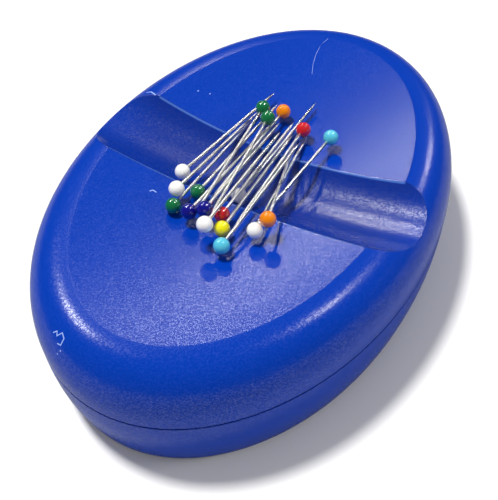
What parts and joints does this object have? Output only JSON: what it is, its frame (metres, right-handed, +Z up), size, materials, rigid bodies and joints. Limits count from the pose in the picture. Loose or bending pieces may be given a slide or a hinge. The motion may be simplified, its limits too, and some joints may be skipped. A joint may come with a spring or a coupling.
{
  "type": "magnetic pin bowl",
  "caption": "Oval dish with a concave floor, rounded rim and cross trench, whose hidden magnets hold a heap of loose ball-head sewing pins.",
  "frame": {"origin": "centre of the dish on the surface it stands on, under its rubber feet", "axes": "+X along the long axis, towards the right end of the dish, +Y along the trench, +Z up"},
  "size_m": [0.108, 0.0746, 0.0317],
  "materials": {
    "shell_plastic": "fine spark-textured moulded blue plastic, satin",
    "wire_plated": "bright nickel plating",
    "head_white": "glossy",
    "head_green": "glossy",
    "head_dark_blue": "glossy",
    "head_red": "glossy",
    "head_yellow": "glossy",
    "head_light_blue": "glossy",
    "head_orange": "glossy",
    "magnet_ferrite": "dark pressed ferrite",
    "yoke_steel": "plain steel plate",
    "screw_steel": "zinc-plated steel",
    "foot_rubber": "matt black rubber"
  },
  "bodies": {
    "bowl": {"top_shell": "shell_plastic", "base_shell": "shell_plastic", "magnet_left": "magnet_ferrite", "magnet_right": "magnet_ferrite", "yoke_plate": "yoke_steel", "yoke_screws": "screw_steel", "base_screws": "screw_steel", "foot_01": "foot_rubber", "foot_02": "foot_rubber", "foot_03": "foot_rubber", "foot_04": "foot_rubber"},
    "pin_01": {"pin_01_wire": "wire_plated", "pin_01_head_white": "head_white"},
    "pin_02": {"pin_02_wire": "wire_plated", "pin_02_head_white": "head_white"},
    "pin_03": {"pin_03_wire": "wire_plated", "pin_03_head_green": "head_green"},
    "pin_04": {"pin_04_wire": "wire_plated", "pin_04_head_green": "head_green"},
    "pin_05": {"pin_05_wire": "wire_plated", "pin_05_head_dark_blue": "head_dark_blue"},
    "pin_06": {"pin_06_wire": "wire_plated", "pin_06_head_dark_blue": "head_dark_blue"},
    "pin_07": {"pin_07_wire": "wire_plated", "pin_07_head_white": "head_white"},
    "pin_08": {"pin_08_wire": "wire_plated", "pin_08_head_red": "head_red"},
    "pin_09": {"pin_09_wire": "wire_plated", "pin_09_head_yellow": "head_yellow"},
    "pin_10": {"pin_10_wire": "wire_plated", "pin_10_head_light_blue": "head_light_blue"},
    "pin_11": {"pin_11_wire": "wire_plated", "pin_11_head_white": "head_white"},
    "pin_12": {"pin_12_wire": "wire_plated", "pin_12_head_white": "head_white"},
    "pin_13": {"pin_13_wire": "wire_plated", "pin_13_head_orange": "head_orange"},
    "pin_14": {"pin_14_wire": "wire_plated", "pin_14_head_light_blue": "head_light_blue"},
    "pin_15": {"pin_15_wire": "wire_plated", "pin_15_head_red": "head_red"},
    "pin_16": {"pin_16_wire": "wire_plated", "pin_16_head_orange": "head_orange"},
    "pin_17": {"pin_17_wire": "wire_plated", "pin_17_head_green": "head_green"},
    "pin_18": {"pin_18_wire": "wire_plated", "pin_18_head_green": "head_green"}
  },
  "joints": [
    {"name": "pin_01_lift", "type": "slide", "parent": "pin_02", "child": "pin_01", "axis": [0, 0, 1], "range_m": [0, 0.015]},
    {"name": "pin_02_lift", "type": "slide", "parent": "pin_03", "child": "pin_02", "axis": [0, 0, 1], "range_m": [0, 0.015]},
    {"name": "pin_03_lift", "type": "slide", "parent": "bowl", "child": "pin_03", "axis": [0, 0, 1], "range_m": [0, 0.015]},
    {"name": "pin_04_lift", "type": "slide", "parent": "bowl", "child": "pin_04", "axis": [0, 0, 1], "range_m": [0, 0.015]},
    {"name": "pin_05_lift", "type": "slide", "parent": "pin_04", "child": "pin_05", "axis": [0, 0, 1], "range_m": [0, 0.015]},
    {"name": "pin_06_lift", "type": "slide", "parent": "pin_18", "child": "pin_06", "axis": [0, 0, 1], "range_m": [0, 0.015]},
    {"name": "pin_07_lift", "type": "slide", "parent": "pin_17", "child": "pin_07", "axis": [0, 0, 1], "range_m": [0, 0.015]},
    {"name": "pin_08_lift", "type": "slide", "parent": "pin_11", "child": "pin_08", "axis": [0, 0, 1], "range_m": [0, 0.015]},
    {"name": "pin_09_lift", "type": "slide", "parent": "pin_05", "child": "pin_09", "axis": [0, 0, 1], "range_m": [0, 0.015]},
    {"name": "pin_10_lift", "type": "slide", "parent": "pin_15", "child": "pin_10", "axis": [0, 0, 1], "range_m": [0, 0.015]},
    {"name": "pin_11_lift", "type": "slide", "parent": "pin_09", "child": "pin_11", "axis": [0, 0, 1], "range_m": [0, 0.015]},
    {"name": "pin_12_lift", "type": "slide", "parent": "pin_14", "child": "pin_12", "axis": [0, 0, 1], "range_m": [0, 0.015]},
    {"name": "pin_13_lift", "type": "slide", "parent": "pin_12", "child": "pin_13", "axis": [0, 0, 1], "range_m": [0, 0.015]},
    {"name": "pin_14_lift", "type": "slide", "parent": "bowl", "child": "pin_14", "axis": [0, 0, 1], "range_m": [0, 0.015]},
    {"name": "pin_15_lift", "type": "slide", "parent": "pin_13", "child": "pin_15", "axis": [0, 0, 1], "range_m": [0, 0.015]},
    {"name": "pin_16_lift", "type": "slide", "parent": "pin_08", "child": "pin_16", "axis": [0, 0, 1], "range_m": [0, 0.015]},
    {"name": "pin_17_lift", "type": "slide", "parent": "pin_06", "child": "pin_17", "axis": [0, 0, 1], "range_m": [0, 0.015]},
    {"name": "pin_18_lift", "type": "slide", "parent": "pin_16", "child": "pin_18", "axis": [0, 0, 1], "range_m": [0, 0.015]}
  ]
}
